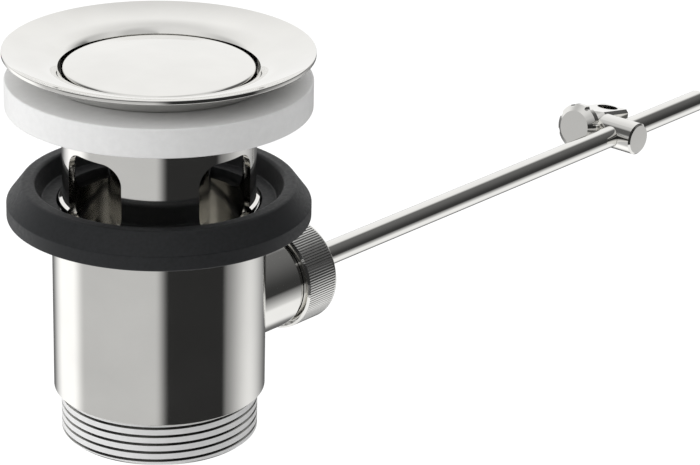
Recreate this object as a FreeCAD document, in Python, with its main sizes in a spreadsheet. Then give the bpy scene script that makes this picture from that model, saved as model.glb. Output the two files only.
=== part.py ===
import FreeCAD, Part
import math
import os
import Sketcher

# Pop up basin waste: a flanged valve cup hangs in the drain hole of a wash basin, a tail
# body screws on from below, and a lever rod on a ball pivot lifts the plug. Millimetres.
# The origin lies on the waste's axis, where the seal under the flange meets the basin.
# +Z is up and +X runs along the lever rod.

SIZES = {
    # Pipe thread, shared by the cup's tube and the tail
    "pipe_thread_radius": 20.955,
    "thread_height": 0.705,
    # Flange and throat of the valve cup
    "flange_radius": 32.3,
    "flange_rise": 6.03,
    "lip_thickness": 0.8,
    "lip_rounding": 0.35,
    "cone_drop": 5.48,
    "brim_width": 4.65,
    "dish_drop": 1.8,
    "dish_curve": 25.0,
    "brim_curve": 10.0,
    "throat_step": 0.6,
    "throat_drop": 3.7,
    "throat_wall": 1.35,
    "seat_drop": 8.4,
    "seat_thickness": 1.6,
    # Slotted tube of the valve cup
    "tube_wall": 1.4,
    "tube_thread_runout": 1.6,
    "thread_engagement": 10.67,
    "window_width": 15.2,
    "window_height": 15.22,
    "window_top": 6.88,
    "window_corner": 4.3,
    # Seal above the basin and gasket below it
    "seal_inset": 0.42,
    "seal_height": 6.22,
    "seal_crown_width": 1.8,
    "seal_edge": 0.4,
    "seal_clearance": 0.1,
    "basin_thickness": 16.65,
    "gasket_inset": 0.45,
    "gasket_height": 7.43,
    "gasket_rim_height": 3.2,
    "gasket_slope_width": 3.15,
    "gasket_lip_width": 2.6,
    "gasket_lip_curve": 1.6,
    "gasket_recess_slope": 1.6,
    "gasket_floor_thickness": 3.55,
    "gasket_clearance": 0.445,
    # Tail body
    "body_wall": 1.445,
    "body_length": 38.77,
    "body_edge": 0.5,
    "body_bore_step": 0.15,
    "end_seal_thickness": 2.0,
    "thread_clearance": 0.1,
    "tail_length": 9.97,
    "tail_chamfer": 1.2,
    "tail_wall": 3.155,
    "tail_bore_length": 12.5,
    # Ball pivot in the tail body's boss
    "boss_drop": 25.33,
    "boss_reach": 33.5,
    "boss_step": 0.66,
    "spigot_length": 7.9,
    "spigot_wall": 1.2,
    "ball_radius": 7.0,
    "ball_inset": 6.4,
    "ball_room": 1.8,
    "ball_clearance": 0.1,
    "cavity_depth": 8.4,
    "cavity_ledge": 1.0,
    "seat_clearance": 0.1,
    "ball_seat_face": 3.0,
    "washer_thickness": 1.4,
    "washer_step": 1.2,
    # Knurled nut on the boss
    "nut_side": 1.55,
    "nut_gap": 1.3,
    "nut_end_gap": 0.2,
    "nut_end_wall": 2.7,
    "nut_chamfer": 0.5,
    "nut_rounding": 1.05,
    "nut_mouth_flare": 1.0,
    "nut_clearance": 0.15,
    # Lever rod
    "rod_radius": 2.65,
    "rod_swing_room": 2.15,
    "rod_overrun": 3.0,
    "rod_reach": 199.5,
    "rod_chamfer": 0.5,
    # Plug
    "cap_gap": 0.85,
    "cap_edge_drop": 3.35,
    "cap_crown_drop": 2.8,
    "cap_rounding": 0.5,
    "plug_seal_inset": 0.65,
    "plug_seal_height": 1.5,
    "plug_seal_edge": 0.4,
    "plug_seal_gap": 0.3,
    "keeper_gap": 0.45,
    "keeper_step": 0.9,
    "keeper_thickness": 0.85,
    "skirt_radius": 10.7,
    "skirt_wall": 1.3,
    "skirt_length": 28.5,
    "skirt_shoulder": 2.4,
    "web_thickness": 4.2,
    "spindle_radius": 3.0,
    "spindle_depth": 2.4,
    "spindle_gap": 0.3,
    "spindle_clearance": 0.1,
    "lock_nut_flats": 10.0,
    "lock_nut_height": 4.0,
    # Clamp for the lift rod
    "clamp_inset": 35.1,
    "clamp_tilt": 10.0,
    "barrel_radius": 4.0,
    "barrel_front": 6.4,
    "barrel_rear": 4.1,
    "barrel_chamfer": 0.45,
    "rod_clearance": 0.05,
    "pin_radius": 2.5,
    "pin_length": 2.2,
    "pin_clearance": 0.1,
    "ring_width": 0.6,
    "ring_height": 0.6,
    "ring_bite": 0.3,
    "lug_gap": 0.2,
    "lug_section": 8.4,
    "lug_chamfer": 0.6,
    "lift_hole_radius": 2.6,
    "lift_hole_offset": 6.2,
    "lift_hole_wall": 1.75,
    # Thumb screw of the clamp
    "screw_radius": 2.0,
    "screw_clearance": 0.1,
    "screw_tip_gap": 0.2,
    "collar_radius": 2.9,
    "collar_thickness": 0.5,
    "head_gap": 0.3,
    "head_overhang": 0.85,
    "head_width": 2.5,
    "head_bevel": 0.5,
    "head_bevel_width": 1.0,
    "tooth_depth": 0.4,
    "tooth_count": 28,
}

document = FreeCAD.newDocument("basin_waste")
sheet = document.addObject("Spreadsheet::Sheet", "Sizes")
for row, (alias, amount) in enumerate(SIZES.items(), start=1):
    sheet.set(f"A{row}", alias)
    sheet.set(f"B{row}", str(amount))
    sheet.setAlias(f"B{row}", alias)
document.recompute()


class Size:
    """A length with both its value and the formula that ties it to the sheet."""

    def __init__(self, value, formula):
        self.value = value
        self.formula = formula

    def __add__(self, other):
        other = as_size(other)
        return Size(self.value + other.value, f"({self.formula} + {other.formula})")

    def __sub__(self, other):
        other = as_size(other)
        return Size(self.value - other.value, f"({self.formula} - {other.formula})")

    def __mul__(self, other):
        other = as_size(other)
        return Size(self.value * other.value, f"({self.formula} * {other.formula})")

    def __truediv__(self, other):
        other = as_size(other)
        return Size(self.value / other.value, f"({self.formula} / {other.formula})")

    def __neg__(self):
        return Size(-self.value, f"(0 - {self.formula})")


def as_size(amount):
    """A Size as it is, or a plain number as a Size."""
    return amount if isinstance(amount, Size) else Size(amount, f"({amount})")


def size(alias):
    """The named cell of the sheet."""
    return Size(float(sheet.get(alias)), f"Sizes.{alias}")


def root(amount):
    """The square root of a Size."""
    return Size(math.sqrt(amount.value), f"sqrt({amount.formula})")


def across(long_side, short_side):
    """The other short side of a right triangle."""
    return root(long_side * long_side - short_side * short_side)


ZERO = Size(0.0, "0")
AXIS_LENGTH = 10.0
PARALLEL = 1e-6
NOTCH_SHARE = 0.9

# Radii about the waste's axis, worked out from the sizes
tube_radius = size("pipe_thread_radius") - size("thread_height")
tube_bore = tube_radius - size("tube_wall")
socket_radius = size("pipe_thread_radius") + size("thread_clearance")
body_radius = socket_radius + size("body_wall")
body_bore = tube_bore + size("body_bore_step")
tail_bore = size("pipe_thread_radius") - size("tail_wall")
throat_radius = tube_radius + size("throat_step")
neck_radius = throat_radius + size("throat_wall")
seal_radius = size("flange_radius") - size("seal_inset")
gasket_radius = size("flange_radius") - size("gasket_inset")
gasket_bore = size("pipe_thread_radius") + size("gasket_clearance")
keeper_radius = tube_bore - size("keeper_gap")
hub_radius = keeper_radius - size("keeper_step")

# Heights along the waste's axis
rim_top = size("seal_height") + size("flange_rise")
rim_foot = rim_top - size("lip_thickness")
cone_foot = rim_foot - size("cone_drop")
seat_height = rim_top - size("seat_drop")
neck_foot = seat_height - size("seat_thickness")
gasket_top = -size("basin_thickness")
gasket_foot = gasket_top - size("gasket_height")
tube_end = gasket_foot - size("thread_engagement")
socket_floor = tube_end - size("end_seal_thickness")
body_foot = gasket_foot - size("body_length")
tail_foot = body_foot - size("tail_length")
rod_height = gasket_foot - size("boss_drop")
seal_bottom = seat_height + size("plug_seal_gap")
cap_foot = seal_bottom + size("plug_seal_height")
web_foot = cap_foot - size("web_thickness")
spindle_top = cap_foot + size("spindle_depth")
spindle_tip = rod_height + size("rod_radius") + size("spindle_gap")

# Places and radii along the lever rod
spigot_end = size("boss_reach") + size("spigot_length")
ball_centre = spigot_end - size("ball_inset")
cavity_floor = ball_centre - size("cavity_depth")
cavity_radius = size("ball_radius") + size("ball_room")
spigot_radius = cavity_radius + size("spigot_wall")
boss_radius = spigot_radius + size("boss_step")
seat_radius = cavity_radius - size("seat_clearance")
seat_hole = size("rod_radius") + size("rod_swing_room")
seat_ball = size("ball_radius") + size("ball_clearance")
nut_floor = spigot_end + size("nut_end_gap")
nut_end = nut_floor + size("nut_end_wall")

# Places in the clamp, from the crossing of the rod and the barrel
clamp_centre = size("rod_reach") - size("clamp_inset")
lug_front = size("barrel_rear") + size("lug_gap")
lug_back = lug_front + size("lug_section")
head_back = -(size("barrel_radius") + size("head_gap"))
lug_left = head_back + size("collar_thickness")
lug_right = size("lift_hole_offset") + size("lift_hole_radius") + size("lift_hole_wall")
screw_line = lug_front + size("lug_section") / 2
pin_end = size("barrel_rear") + size("pin_length")
ring_middle = size("barrel_rear") + size("pin_length") / 2
ring_outer = size("pin_radius") + size("ring_height") - size("ring_bite")
ring_inner = size("pin_radius") - size("ring_bite")


def new_body(label):
    """An empty body whose label is the name of the piece."""
    body = document.addObject("PartDesign::Body", label)
    body.Label = label
    return body


def place(body, x=ZERO, z=ZERO, tilt=None):
    """Ties a body's place to the sheet, turned about Y by tilt where that is given."""
    for way, amount in (("x", x), ("z", z)):
        if amount is not ZERO:
            body.setExpression(f".Placement.Base.{way}", amount.formula)
    if tilt is not None:
        body.Placement.Rotation = FreeCAD.Rotation(FreeCAD.Vector(0, 1, 0), tilt.value)
        body.setExpression(".Placement.Rotation.Angle", tilt.formula)


def sketch_on(body, plane, name):
    """A sketch on one of the body's own origin planes."""
    sketch = body.newObject("Sketcher::SketchObject", name)
    support = next(item for item in body.Origin.OriginFeatures if item.Role == plane)
    sketch.AttachmentSupport = [(support, "")]
    sketch.MapMode = "FlatFace"
    return sketch


def hold(sketch, edge, point, way, amount):
    """Fixes one coordinate of a point, on the axis or at its distance from it."""
    if amount is ZERO:
        axis = -2 if way == "X" else -1
        sketch.addConstraint(Sketcher.Constraint("PointOnObject", edge, point, axis))
        return
    rule = Sketcher.Constraint("Distance" + way, -1, 1, edge, point, amount.value)
    index = sketch.addConstraint(rule)
    sketch.setExpression(f"Constraints[{index}]", amount.formula)


def arc_between(start, finish, radius, side):
    """The short arc from start to finish that bulges away from a centre on the given side."""
    chord = finish - start
    reach = math.sqrt(max(radius ** 2 - chord.Length ** 2 / 4, 0.0))
    leftwards = FreeCAD.Vector(-chord.y, chord.x, 0).normalize()
    turn = 1 if side == "left" else -1
    centre = (start + finish) / 2 + leftwards * reach * turn
    begin, end = (start, finish) if side == "left" else (finish, start)
    angles = [math.atan2(point.y - centre.y, point.x - centre.x) for point in (begin, end)]
    if angles[1] < angles[0]:
        angles[1] += 2 * math.pi
    circle = Part.Circle(centre, FreeCAD.Vector(0, 0, 1), radius)
    return Part.ArcOfCircle(circle, angles[0], angles[1])


def draw(sketch, corners):
    """Draws a closed outline. A corner is (x, y), or (x, y, side, radius) where an arc that
    turns to that side leaves it. Each corner is held at its sizes from the sheet."""
    spots = [FreeCAD.Vector(corner[0].value, corner[1].value, 0) for corner in corners]
    edges = []
    for index, corner in enumerate(corners):
        start, finish = spots[index], spots[(index + 1) % len(spots)]
        if len(corner) == 2:
            edges.append((sketch.addGeometry(Part.LineSegment(start, finish), False), 1, 2))
            continue
        arc = sketch.addGeometry(arc_between(start, finish, corner[3].value, corner[2]), False)
        edges.append((arc, 1, 2) if corner[2] == "left" else (arc, 2, 1))
    for index, (edge, first, last) in enumerate(edges):
        following, following_first, _ = edges[(index + 1) % len(edges)]
        joint = Sketcher.Constraint("Coincident", edge, last, following, following_first)
        sketch.addConstraint(joint)
    for corner, (edge, first, _) in zip(corners, edges):
        hold(sketch, edge, first, "X", corner[0])
        hold(sketch, edge, first, "Y", corner[1])
        if len(corner) == 4:
            index = sketch.addConstraint(Sketcher.Constraint("Radius", edge, corner[3].value))
            sketch.setExpression(f"Constraints[{index}]", corner[3].formula)


def turned(body, name, corners, axis="V_Axis", plane="XZ_Plane", line=None, cut=False):
    """Turns an outline a full circle, to add or to cut, about an axis of its sketch or about
    a line across the sketch at the height that is given."""
    sketch = sketch_on(body, plane, name + "_outline")
    draw(sketch, corners)
    if line is not None:
        start, finish = (FreeCAD.Vector(x, line.value, 0) for x in (0, AXIS_LENGTH))
        edge = sketch.addGeometry(Part.LineSegment(start, finish), True)
        hold(sketch, edge, 1, "X", ZERO)
        hold(sketch, edge, 1, "Y", line)
        sketch.addConstraint(Sketcher.Constraint("Horizontal", edge))
        sketch.addConstraint(Sketcher.Constraint("DistanceX", edge, 1, edge, 2, AXIS_LENGTH))
        axis = "Axis0"
    feature = body.newObject("PartDesign::Groove" if cut else "PartDesign::Revolution", name)
    feature.Profile = sketch
    feature.ReferenceAxis = (sketch, [axis])
    feature.Angle = 360
    return feature


def cut_through(body, name, plane, corners=None, circle=None):
    """Cuts an outline or a circle (x, y, radius) right through the body, both ways."""
    sketch = sketch_on(body, plane, name + "_outline")
    if circle:
        x, y, radius = circle
        centre = FreeCAD.Vector(x.value, y.value, 0)
        ring = Part.Circle(centre, FreeCAD.Vector(0, 0, 1), radius.value)
        edge = sketch.addGeometry(ring, False)
        hold(sketch, edge, 3, "X", x)
        hold(sketch, edge, 3, "Y", y)
        index = sketch.addConstraint(Sketcher.Constraint("Radius", edge, radius.value))
        sketch.setExpression(f"Constraints[{index}]", radius.formula)
    else:
        draw(sketch, corners)
    pocket = body.newObject("PartDesign::Pocket", name)
    pocket.Profile = sketch
    pocket.Type = "ThroughAll"
    pocket.Midplane = True
    return pocket


def edges_along(shape, direction):
    """Names of the straight edges that run along a direction."""
    names = []
    for number, edge in enumerate(shape.Edges, start=1):
        straight = isinstance(edge.Curve, Part.Line)
        if not straight:
            continue
        if edge.tangentAt(edge.FirstParameter).cross(direction).Length < PARALLEL:
            names.append(f"Edge{number}")
    return names


def rounded_window(half_width, bottom, top, corner):
    """A rectangle with rounded corners, centred on the vertical axis of its sketch."""
    left, right = -half_width, half_width
    return [
        (left + corner, bottom),
        (right - corner, bottom, "left", corner),
        (right, bottom + corner),
        (right, top - corner, "left", corner),
        (right - corner, top),
        (left + corner, top, "left", corner),
        (left, top - corner),
        (left, bottom + corner, "left", corner),
    ]


def cone_height(radius):
    """Height of the flange's conical underside at a radius."""
    slope = size("cone_drop") / (size("flange_radius") - neck_radius)
    return cone_foot + (radius - neck_radius) * slope


def make_valve_cup():
    """The flanged cup: a dished flange, a throat with the plug's seat, a slotted tube."""
    body = new_body("valve_cup")
    radius, rounding = size("flange_radius"), size("lip_rounding")
    thread_start = gasket_top - size("tube_thread_runout")
    turned(body, "cup", [
        (tube_bore, tube_end),
        (size("pipe_thread_radius"), tube_end),
        (size("pipe_thread_radius"), thread_start),
        (tube_radius, thread_start),
        (tube_radius, neck_foot),
        (neck_radius, neck_foot),
        (neck_radius, cone_foot),
        (radius, rim_foot),
        (radius, rim_top - rounding, "left", rounding),
        (radius - rounding, rim_top, "right", size("dish_curve")),
        (throat_radius + size("brim_width"), rim_top - size("dish_drop"),
         "left", size("brim_curve")),
        (throat_radius, rim_top - size("throat_drop")),
        (throat_radius, seat_height),
        (tube_bore, seat_height),
    ])
    window_top = -size("window_top")
    window = rounded_window(size("window_width") / 2, window_top - size("window_height"),
                            window_top, size("window_corner"))
    for plane, name in (("YZ_Plane", "windows_along_x"), ("XZ_Plane", "windows_along_y")):
        cut_through(body, name, plane, window)
    return body


def make_flange_seal():
    """The pale ring between the flange and the basin, coned on top to fit the flange."""
    body = new_body("flange_seal")
    bore = tube_radius + size("seal_clearance")
    neck_bore = neck_radius + size("seal_clearance")
    crown = neck_radius + size("seal_crown_width")
    step = neck_foot - size("seal_clearance")
    edge = size("seal_edge")
    turned(body, "ring", [
        (bore, ZERO),
        (seal_radius - edge, ZERO),
        (seal_radius, edge),
        (seal_radius, size("seal_height") - edge),
        (seal_radius - edge, size("seal_height")),
        (crown, cone_height(crown)),
        (neck_bore, cone_height(neck_bore)),
        (neck_bore, step),
        (bore, step),
    ])
    return body


def make_basin_gasket():
    """The black rubber gasket: a soft lip round a recess, pressed up under the basin."""
    body = new_body("basin_gasket")
    outer = gasket_radius - size("gasket_slope_width")
    inner = outer - size("gasket_lip_width")
    floor = gasket_foot + size("gasket_floor_thickness")
    curve = size("gasket_lip_curve")
    lip_drop = curve - across(curve, size("gasket_lip_width") / 2)
    turned(body, "gasket", [
        (gasket_bore, gasket_foot),
        (gasket_radius, gasket_foot),
        (gasket_radius, gasket_foot + size("gasket_rim_height")),
        (outer, gasket_top - lip_drop, "left", curve),
        (inner, gasket_top - lip_drop),
        (inner - size("gasket_recess_slope"), floor),
        (gasket_bore, floor),
    ])
    return body


def make_tail_body():
    """The tail body: socket for the cup's thread, bore, threaded tail and lever boss."""
    body = new_body("tail_body")
    edge = size("body_edge")
    tail, chamfer = size("pipe_thread_radius"), size("tail_chamfer")
    turned(body, "shell", [
        (ZERO, tail_foot),
        (tail - chamfer, tail_foot),
        (tail, tail_foot + chamfer),
        (tail, body_foot),
        (body_radius - edge, body_foot),
        (body_radius, body_foot + edge),
        (body_radius, gasket_foot),
        (ZERO, gasket_foot),
    ])
    turned(body, "boss", [
        (ZERO, rod_height),
        (spigot_end, rod_height),
        (spigot_end, rod_height + spigot_radius),
        (size("boss_reach"), rod_height + spigot_radius),
        (size("boss_reach"), rod_height + boss_radius),
        (ZERO, rod_height + boss_radius),
    ], line=rod_height)
    neck = tail_foot + size("tail_bore_length")
    turned(body, "waterway", [
        (ZERO, tail_foot),
        (tail_bore, tail_foot),
        (tail_bore, neck),
        (body_bore, neck + body_bore - tail_bore),
        (body_bore, socket_floor),
        (socket_radius, socket_floor),
        (socket_radius, gasket_foot),
        (ZERO, gasket_foot),
    ], cut=True)
    boss_hole = cavity_radius - size("cavity_ledge")
    turned(body, "pivot_cavity", [
        (ZERO, rod_height),
        (spigot_end, rod_height),
        (spigot_end, rod_height + cavity_radius),
        (cavity_floor, rod_height + cavity_radius),
        (cavity_floor, rod_height + boss_hole),
        (ZERO, rod_height + boss_hole),
    ], line=rod_height, cut=True)
    return body


def make_tube_end_seal():
    """The flat ring squeezed between the end of the cup's tube and the tail body."""
    body = new_body("tube_end_seal")
    turned(body, "ring", [
        (body_bore, socket_floor),
        (size("pipe_thread_radius"), socket_floor),
        (size("pipe_thread_radius"), tube_end),
        (body_bore, tube_end),
    ])
    return body


def make_plug_cap():
    """The chrome button that closes the waste, slightly crowned on top."""
    body = new_body("plug_cap")
    radius, rounding = throat_radius - size("cap_gap"), size("cap_rounding")
    edge_top = rim_top - size("cap_edge_drop")
    crown = rim_top - size("cap_crown_drop")
    span, rise = radius - rounding, crown - edge_top
    crown_curve = (span * span + rise * rise) / (rise * 2)
    turned(body, "cap", [
        (size("spindle_radius"), cap_foot),
        (radius - rounding, cap_foot),
        (radius, cap_foot + rounding),
        (radius, edge_top - rounding, "left", rounding),
        (span, edge_top, "left", crown_curve),
        (ZERO, crown),
        (ZERO, spindle_top),
        (size("spindle_radius"), spindle_top),
    ])
    return body


def make_plug_seal():
    """The rubber ring under the cap that closes on the cup's seat."""
    body = new_body("plug_seal")
    outer, edge = throat_radius - size("plug_seal_inset"), size("plug_seal_edge")
    turned(body, "ring", [
        (hub_radius, seal_bottom),
        (outer - edge, seal_bottom),
        (outer, seal_bottom + edge),
        (outer, cap_foot - edge),
        (outer - edge, cap_foot),
        (hub_radius, cap_foot),
    ])
    return body


def make_plug_stem():
    """The plug's guide: a hub that holds the seal, a web and a round skirt."""
    body = new_body("plug_stem")
    bore = size("spindle_radius") + size("spindle_clearance")
    skirt = size("skirt_radius")
    skirt_foot = seal_bottom - size("skirt_length")
    keeper_foot = seal_bottom - size("keeper_thickness")
    turned(body, "stem", [
        (bore, web_foot),
        (skirt - size("skirt_wall"), web_foot),
        (skirt - size("skirt_wall"), skirt_foot),
        (skirt, skirt_foot),
        (skirt, keeper_foot - size("skirt_shoulder")),
        (keeper_radius, keeper_foot),
        (keeper_radius, seal_bottom),
        (hub_radius, seal_bottom),
        (hub_radius, cap_foot),
        (bore, cap_foot),
    ])
    return body


def make_plug_spindle():
    """The pin down the middle of the plug, whose round tip rides on the lever rod."""
    body = new_body("plug_spindle")
    radius = size("spindle_radius")
    turned(body, "spindle", [
        (ZERO, spindle_tip, "left", radius),
        (radius, spindle_tip + radius),
        (radius, spindle_top),
        (ZERO, spindle_top),
    ])
    return body


def make_spindle_nut():
    """The hexagon nut that clamps the stem to the cap on the spindle."""
    body = new_body("spindle_nut")
    corner = size("lock_nut_flats") / math.sqrt(3)
    angles = [math.radians(60 * turn) for turn in range(6)]
    sketch = sketch_on(body, "XY_Plane", "hexagon_outline")
    draw(sketch, [(corner * math.cos(angle), corner * math.sin(angle)) for angle in angles])
    pad = body.newObject("PartDesign::Pad", "hexagon")
    pad.Profile = sketch
    pad.setExpression("Length", "Sizes.lock_nut_height")
    hole = size("spindle_radius") + size("spindle_clearance")
    cut_through(body, "hole", "XY_Plane", circle=(ZERO, ZERO, hole))
    place(body, z=web_foot - size("lock_nut_height"))
    return body


def make_lever_rod():
    """The plain round rod from under the plug out to the lift rod's clamp."""
    body = new_body("lever_rod")
    inner_end, outer_end = -size("rod_overrun"), size("rod_reach")
    radius, chamfer = size("rod_radius"), size("rod_chamfer")
    turned(body, "rod", [
        (inner_end, ZERO),
        (outer_end, ZERO),
        (outer_end, radius - chamfer),
        (outer_end - chamfer, radius),
        (inner_end + chamfer, radius),
        (inner_end, radius - chamfer),
    ], axis="H_Axis")
    place(body, z=rod_height)
    return body


def make_lever_ball():
    """The pivot ball, pressed on the rod."""
    body = new_body("lever_ball")
    ball, hole = size("ball_radius"), size("rod_radius")
    half_width = across(ball, hole)
    turned(body, "ball", [
        (-half_width, hole),
        (half_width, hole, "left", ball),
        (ZERO, ball, "left", ball),
    ], axis="H_Axis")
    place(body, x=ball_centre, z=rod_height)
    return body


def make_ball_seat(label, back, side):
    """A seat ring round the rod, from its back to a hollow face that carries the ball. The
    face lies on the side of the ball's centre that side gives: -1 inwards, 1 outwards."""
    body = new_body(label)
    face, depth = size("ball_seat_face"), across(seat_ball, seat_hole)
    rim = across(seat_ball, face)
    turn = "left" if side < 0 else "right"
    turned(body, "seat", [
        (face * side, rim, turn, seat_ball),
        (depth * side, seat_hole),
        (back, seat_hole),
        (back, seat_radius),
        (face * side, seat_radius),
    ], axis="H_Axis")
    place(body, x=ball_centre, z=rod_height)
    return body


def make_seat_washer():
    """The rubber washer behind the inner seat, which keeps the ball tight."""
    body = new_body("seat_washer")
    front = cavity_floor + size("washer_thickness")
    bore = seat_hole + size("washer_step")
    turned(body, "washer", [
        (cavity_floor, bore),
        (front, bore),
        (front, seat_radius),
        (cavity_floor, seat_radius),
    ], axis="H_Axis")
    place(body, z=rod_height)
    return body


def make_boss_nut():
    """The round nut on the boss, with a coned mouth that lets the rod tilt."""
    body = new_body("boss_nut")
    thread = spigot_radius + size("nut_clearance")
    radius, chamfer = thread + size("nut_side"), size("nut_chamfer")
    face, rounding = size("boss_reach") + size("nut_gap"), size("nut_rounding")
    turned(body, "nut", [
        (face, thread),
        (face, radius - chamfer),
        (face + chamfer, radius),
        (nut_end - rounding, radius, "right", rounding),
        (nut_end, radius - rounding),
        (nut_end, seat_hole + size("nut_mouth_flare")),
        (nut_floor, seat_hole),
        (nut_floor, thread),
    ], axis="H_Axis")
    place(body, z=rod_height)
    return body


def make_clamp_barrel():
    """The round barrel that slides on the lever rod and carries the lug on its pin."""
    body = new_body("clamp_barrel")
    radius, chamfer = size("barrel_radius"), size("barrel_chamfer")
    front, rear = -size("barrel_front"), size("barrel_rear")
    turned(body, "barrel", [
        (ZERO, front),
        (radius - chamfer, front),
        (radius, front + chamfer),
        (radius, rear),
        (size("pin_radius"), rear),
        (size("pin_radius"), ring_middle - size("ring_width") / 2),
        (ring_inner, ring_middle - size("ring_width") / 2),
        (ring_inner, ring_middle + size("ring_width") / 2),
        (size("pin_radius"), ring_middle + size("ring_width") / 2),
        (size("pin_radius"), pin_end),
        (ZERO, pin_end),
    ], plane="XY_Plane")
    hole = size("rod_radius") + size("rod_clearance")
    cut_through(body, "rod_hole", "YZ_Plane", circle=(ZERO, ZERO, hole))
    place(body, x=clamp_centre, z=rod_height)
    return body


def make_pin_ring():
    """The snap ring in the pin's groove, which keeps the lug on the barrel."""
    body = new_body("pin_ring")
    turned(body, "ring", [
        (ring_inner, ring_middle - size("ring_width") / 2),
        (ring_outer, ring_middle - size("ring_width") / 2),
        (ring_outer, ring_middle + size("ring_width") / 2),
        (ring_inner, ring_middle + size("ring_width") / 2),
    ], plane="XY_Plane")
    place(body, x=clamp_centre, z=rod_height)
    return body


def make_clamp_lug():
    """The square lug that swivels on the barrel and takes the lift rod."""
    body = new_body("clamp_lug")
    sketch = sketch_on(body, "XY_Plane", "block_outline")
    draw(sketch, [
        (lug_left, lug_front),
        (lug_right, lug_front),
        (lug_right, lug_back),
        (lug_left, lug_back),
    ])
    block = body.newObject("PartDesign::Pad", "block")
    block.Profile = sketch
    block.setExpression("Length", "Sizes.lug_section")
    block.Midplane = True
    document.recompute()
    bevel = body.newObject("PartDesign::Chamfer", "long_edges")
    bevel.Base = (block, edges_along(block.Shape, FreeCAD.Vector(1, 0, 0)))
    bevel.setExpression("Size", "Sizes.lug_chamfer")
    lift_hole = (size("lift_hole_offset"), screw_line, size("lift_hole_radius"))
    cut_through(body, "lift_hole", "XY_Plane", circle=lift_hole)
    play = size("pin_clearance")
    ring_side = size("ring_width") / 2 + play
    turned(body, "pin_hole", [
        (ZERO, lug_front),
        (size("pin_radius") + play, lug_front),
        (size("pin_radius") + play, ring_middle - ring_side),
        (ring_outer + play, ring_middle - ring_side),
        (ring_outer + play, ring_middle + ring_side),
        (size("pin_radius") + play, ring_middle + ring_side),
        (size("pin_radius") + play, pin_end + play),
        (ZERO, pin_end + play),
    ], plane="XY_Plane", cut=True)
    thread = screw_line + size("screw_radius") + size("screw_clearance")
    turned(body, "screw_hole", [
        (lug_left, screw_line),
        (size("lift_hole_offset"), screw_line),
        (size("lift_hole_offset"), thread),
        (lug_left, thread),
    ], plane="XY_Plane", line=screw_line, cut=True)
    place(body, x=clamp_centre, z=rod_height, tilt=size("clamp_tilt"))
    return body


def make_lift_rod_screw():
    """The thumb screw along the lug that grips the lift rod, with a toothed head."""
    body = new_body("lift_rod_screw")
    tip = size("lift_hole_offset") - size("lift_hole_radius") - size("screw_tip_gap")
    collar = lug_left - size("screw_clearance")
    rim = size("lug_section") / 2 + size("head_overhang")
    head_front = head_back - size("head_width")
    face = head_front - size("head_bevel")
    screw = turned(body, "screw", [
        (face, screw_line),
        (tip, screw_line),
        (tip, screw_line + size("screw_radius")),
        (collar, screw_line + size("screw_radius")),
        (collar, screw_line + size("collar_radius")),
        (head_back, screw_line + size("collar_radius")),
        (head_back, screw_line + rim),
        (head_front, screw_line + rim),
        (face, screw_line + rim - size("head_bevel_width")),
    ], plane="XY_Plane", line=screw_line)
    half_notch = rim * math.pi / size("tooth_count") * NOTCH_SHARE
    notch = [
        (screw_line - half_notch, rim + size("tooth_depth")),
        (screw_line, rim - size("tooth_depth")),
        (screw_line + half_notch, rim + size("tooth_depth")),
    ]
    pocket = cut_through(body, "first_notch", "YZ_Plane", notch)
    teeth = body.newObject("PartDesign::PolarPattern", "notches")
    teeth.Originals = [pocket]
    teeth.Axis = (screw.Profile[0], ["Axis0"])
    teeth.Angle = 360
    teeth.setExpression("Occurrences", "Sizes.tooth_count")
    body.Tip = teeth
    place(body, x=clamp_centre, z=rod_height, tilt=size("clamp_tilt"))
    return body


pieces = [
    make_valve_cup(),
    make_flange_seal(),
    make_basin_gasket(),
    make_tail_body(),
    make_tube_end_seal(),
    make_plug_cap(),
    make_plug_seal(),
    make_plug_stem(),
    make_plug_spindle(),
    make_spindle_nut(),
    make_lever_rod(),
    make_lever_ball(),
    make_ball_seat("ball_seat_inner", -(size("cavity_depth") - size("washer_thickness")), -1),
    make_ball_seat("ball_seat_outer", size("ball_inset"), 1),
    make_seat_washer(),
    make_boss_nut(),
    make_clamp_barrel(),
    make_pin_ring(),
    make_clamp_lug(),
    make_lift_rod_screw(),
]
document.recompute()

for item in document.Objects:
    if "Invalid" in item.State or "Error" in item.State:
        raise RuntimeError(f"{item.Label} did not build: {item.State}")
for piece in pieces:
    if piece.Shape.isNull() or not piece.Shape.isValid():
        raise RuntimeError(f"{piece.Label} has no valid shape")

os.makedirs("parts", exist_ok=True)
for piece in pieces:
    piece.Shape.exportStep(f"parts/{piece.Label}.step")
    print(piece.Label, len(piece.Shape.Solids), round(piece.Shape.Volume, 1))
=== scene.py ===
import math

import bmesh
import bpy
from mathutils import Matrix, Vector


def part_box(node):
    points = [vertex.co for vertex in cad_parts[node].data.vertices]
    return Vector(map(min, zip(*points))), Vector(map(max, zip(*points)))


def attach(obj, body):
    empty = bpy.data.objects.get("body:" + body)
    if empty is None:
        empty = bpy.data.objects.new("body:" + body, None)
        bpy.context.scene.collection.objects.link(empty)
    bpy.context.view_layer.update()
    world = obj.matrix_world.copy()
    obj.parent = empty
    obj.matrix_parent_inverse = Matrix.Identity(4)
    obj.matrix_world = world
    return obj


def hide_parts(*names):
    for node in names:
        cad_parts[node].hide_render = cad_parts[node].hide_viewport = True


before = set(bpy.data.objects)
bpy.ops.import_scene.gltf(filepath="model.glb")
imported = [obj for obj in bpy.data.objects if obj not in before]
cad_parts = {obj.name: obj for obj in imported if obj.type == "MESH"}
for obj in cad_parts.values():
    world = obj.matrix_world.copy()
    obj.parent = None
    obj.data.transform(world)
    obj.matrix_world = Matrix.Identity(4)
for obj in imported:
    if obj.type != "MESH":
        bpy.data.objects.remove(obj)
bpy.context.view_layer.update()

# Shapes are drawn in millimetres and made metres when a piece is finished
MM = 0.001
X, Y, Z = 0, 1, 2

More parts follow.
